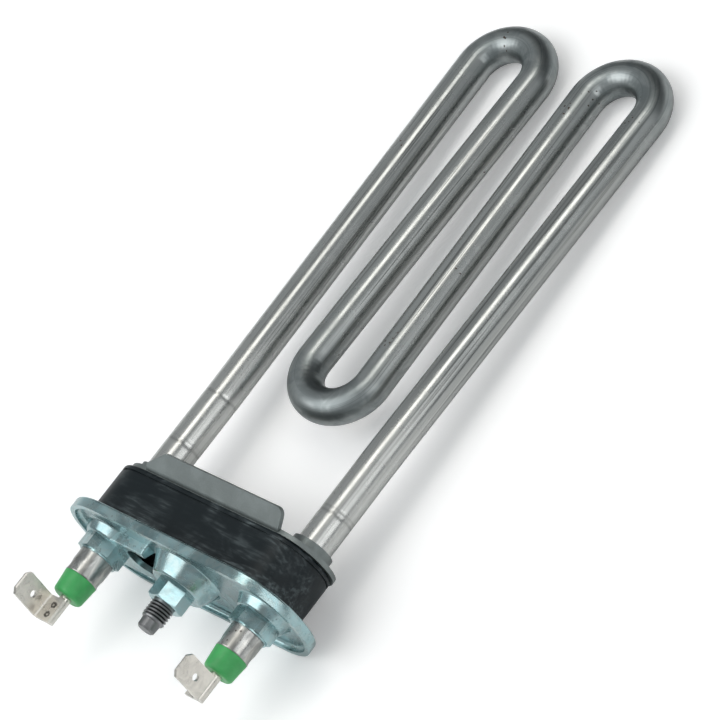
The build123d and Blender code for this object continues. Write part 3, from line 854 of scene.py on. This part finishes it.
class HEATER_OT_terminals(bpy.types.Operator):
    """Finishes the insulators, the pins and the push-on tabs"""

    bl_idname = "heater.terminals"
    bl_label = "Terminals"

    def execute(self, context):
        green = green_finish()
        for side in ("left", "right"):
            dress("insulator_" + side, green)
            low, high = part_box("tab_" + side)
            middle_x = (low.x + high.x) / 2
            pin_y = box_middle("insulator_" + side).y
            welds = [((middle_x + off, pin_y, low.z + WELD_HEIGHT), WELD_RADIUS)
                     for off in WELD_OFFSETS]
            tin = tin_finish("Tinned " + side, welds)
            dress("tab_" + side, tin)
            dress("outer_pin_" + side, tin)
        return {"FINISHED"}


class HEATER_OT_inside(bpy.types.Operator):
    """Finishes what is sealed inside the sheath"""

    bl_idname = "heater.inside"
    bl_label = "Sealed pieces"

    def execute(self, context):
        dress("heating_coil", plain_finish("Resistance wire", (0.30, 0.28, 0.26), 1.0, 0.45))
        dress("insulating_powder", plain_finish("Pressed mineral", (0.82, 0.80, 0.74), 0.0, 0.8))
        pin = plain_finish("Cold pin steel", (0.42, 0.41, 0.39), 1.0, 0.4)
        can = plain_finish("Fuse can", (0.38, 0.37, 0.34), 1.0, 0.35)
        resin = plain_finish("Sealing resin", (0.55, 0.50, 0.42), 0.0, 0.5)
        for side in ("left", "right"):
            dress("inner_pin_" + side, pin)
            dress("thermal_fuse_" + side, can)
            dress("end_seal_" + side, resin)
        return {"FINISHED"}


def aim(place, target, twist):
    """The turn that points an object's -Z axis from a place at a target, twisted about it."""
    turn = (Vector(target) - Vector(place)).to_track_quat("-Z", "Y")
    return (turn @ Quaternion((0.0, 0.0, 1.0), twist)).to_euler()


def soft_light(name, place, size, power, target=LAMP_TARGET, twist=0.0, colour=(1.0, 1.0, 1.0)):
    """A rectangular lamp of a width and a length, pointed at a target."""
    lamp = bpy.data.lights.new(name, "AREA")
    lamp.shape = "RECTANGLE"
    lamp.size, lamp.size_y = size
    lamp.energy = power
    lamp.color = colour
    lit = bpy.data.objects.new(name, lamp)
    lit.location = place
    lit.rotation_euler = aim(place, target, twist)
    bpy.context.scene.collection.objects.link(lit)


class HEATER_OT_stage(bpy.types.Operator):
    """Sets the camera, the pale floor that the heater lies on, and the soft lights"""

    bl_idname = "heater.stage"
    bl_label = "Stage"

    def execute(self, context):
        scene = context.scene
        stage = scene.heater_stage
        camera = bpy.data.cameras.new("Camera")
        camera.lens = stage.camera_lens
        camera.sensor_width = 36.0
        camera.clip_start, camera.clip_end = CAMERA_CLIP
        eye = bpy.data.objects.new("Camera", camera)
        turn = Matrix(CAMERA_AXES).transposed()
        eye.matrix_world = Matrix.Translation(Vector(stage.camera_place)) @ turn.to_4x4()
        scene.collection.objects.link(eye)
        scene.camera = eye

        # The floor touches the plate's lower edge and the underside of the far bends.
        heel = Vector((PLATE_HIGH.x - HEEL_FORWARD, 0.0, PLATE_LOW.z))
        toe = Vector((SHEATH_HIGH.x - sizes().sheath_radius, 0.0, SHEATH_LOW.z))
        along = (toe - heel).normalized()
        side = Vector((0.0, 1.0, 0.0))
        normal = along.cross(side)
        middle = (heel + toe) / 2 - normal * FLOOR_GAP
        corners = [middle + (along * a + side * b) * FLOOR_REACH
                   for a, b in ((-1, -1), (1, -1), (1, 1), (-1, 1))]
        mesh = bpy.data.meshes.new("floor")
        mesh.from_pydata([tuple(v) for v in corners], [], [(0, 1, 2, 3)])
        floor = bpy.data.objects.new("floor", mesh)
        scene.collection.objects.link(floor)
        material, tree, shader = new_finish("Pale floor", 0.0, 0.9)
        shader.inputs["Base Color"].default_value = (*colours().floor, 1.0)
        shader.inputs["Specular IOR Level"].default_value = 0.0
        # The floor glows a little where it is seen, less in the shiny pieces, and reads as white.
        path = tree.nodes.new("ShaderNodeLightPath")
        mirrored = times(tree, path.outputs["Is Glossy Ray"], stage.mirrored_share)
        seen = number(tree, "MAXIMUM", path.outputs["Is Camera Ray"], mirrored)
        wire(tree, times(tree, seen, stage.floor_glow), shader.inputs["Emission Strength"])
        shader.inputs["Emission Color"].default_value = (1.0, 1.0, 1.0, 1.0)
        mesh.materials.append(material)

        world = bpy.data.worlds.new("Studio")
        world.use_nodes = True
        # The room is pale, and darker beyond the far bends.
        room = world.node_tree
        c = colours()
        way = room.nodes.new("ShaderNodeTexCoord").outputs["Generated"]
        beyond = ranged(room, x_of(room, way), *ROOM_TURN)
        wire(room, blend_colour(room, beyond, shade(c.room), shade(c.room_beyond)),
             room.nodes["Background"].inputs["Color"])
        scene.world = world
        soft_light("Key light", (0.34, 0.04, 0.90), (0.66, 0.25), stage.key_power,
                   KEY_TARGET, KEY_TWIST, c.key_light)
        soft_light("Top light", (-0.46, 0.26, 0.88), (0.95, 0.80), stage.top_power)
        soft_light("Fill light", (0.15, -0.70, 0.50), (0.18, 0.66), stage.fill_power)
        scene.view_settings.view_transform = "Standard"
        return {"FINISHED"}


class HEATER_PT_panel(bpy.types.Panel):
    """Lists the steps that finish the heater"""

    bl_idname = "HEATER_PT_panel"
    bl_label = "Tubular Heating Element"
    bl_space_type = "VIEW_3D"
    bl_region_type = "UI"
    bl_category = "Heater"

    def draw(self, context):
        for step in STEPS:
            self.layout.operator(step.bl_idname)


STEPS = (HEATER_OT_stage, HEATER_OT_tube, HEATER_OT_stud, HEATER_OT_plates, HEATER_OT_gasket,
         HEATER_OT_terminals, HEATER_OT_inside)
CLASSES = (HeaterSizes, HeaterColours, HeaterStage, *STEPS, HEATER_PT_panel)


def register():
    for kind in CLASSES:
        bpy.utils.register_class(kind)
    bpy.types.Scene.heater_sizes = PointerProperty(type=HeaterSizes)
    bpy.types.Scene.heater_colours = PointerProperty(type=HeaterColours)
    bpy.types.Scene.heater_stage = PointerProperty(type=HeaterStage)


def unregister():
    del bpy.types.Scene.heater_stage
    del bpy.types.Scene.heater_colours
    del bpy.types.Scene.heater_sizes
    for kind in reversed(CLASSES):
        bpy.utils.unregister_class(kind)


def main():
    """Builds every piece and the stage."""
    register()
    bpy.ops.heater.stage()
    bpy.ops.heater.tube()
    bpy.ops.heater.stud()
    bpy.ops.heater.plates()
    bpy.ops.heater.gasket()
    bpy.ops.heater.terminals()
    bpy.ops.heater.inside()


if __name__ == "__main__":
    main()
